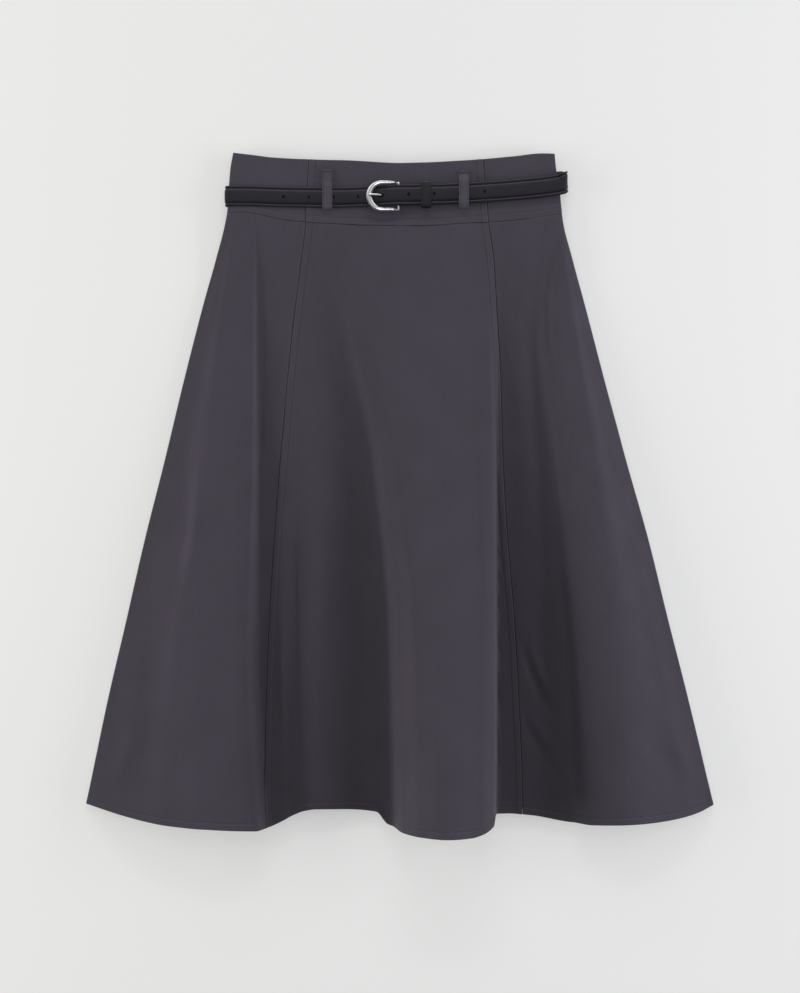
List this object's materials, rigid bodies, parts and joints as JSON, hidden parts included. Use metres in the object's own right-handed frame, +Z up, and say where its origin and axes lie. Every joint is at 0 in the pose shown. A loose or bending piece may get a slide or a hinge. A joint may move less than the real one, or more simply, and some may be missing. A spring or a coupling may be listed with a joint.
{
  "type": "a-line skirt with belt",
  "caption": "Mid-length a-line skirt laid flat, with a fitted yoke, gores that stand in soft flutes towards the hem, and a narrow leather belt held by cloth loops.",
  "frame": {"origin": "on the surface that the skirt lies on, below the middle of its width and length", "axes": "+Z up from the surface, +Y from the hem towards the waist, +X to the right of someone who looks down on the front"},
  "size_m": [0.6267, 0.6732, 0.0593],
  "materials": {
    "grey_suiting": "matte",
    "black_leather": "semi-gloss",
    "polished_steel": "polished"
  },
  "bodies": {
    "root": {"front_yoke_left": "grey_suiting", "front_yoke_centre": "grey_suiting", "front_yoke_right": "grey_suiting", "front_gore_left": "grey_suiting", "front_gore_centre": "grey_suiting", "front_gore_right": "grey_suiting", "back_yoke_left": "grey_suiting", "back_yoke_right": "grey_suiting", "back_gore_left": "grey_suiting", "back_gore_right": "grey_suiting", "front_belt_loop_left": "grey_suiting", "front_belt_loop_right": "grey_suiting", "back_belt_loop_left": "grey_suiting", "back_belt_loop_right": "grey_suiting", "belt_strap": "black_leather", "belt_keeper": "black_leather", "buckle_frame": "polished_steel", "buckle_prong": "polished_steel"}
  },
  "joints": []
}
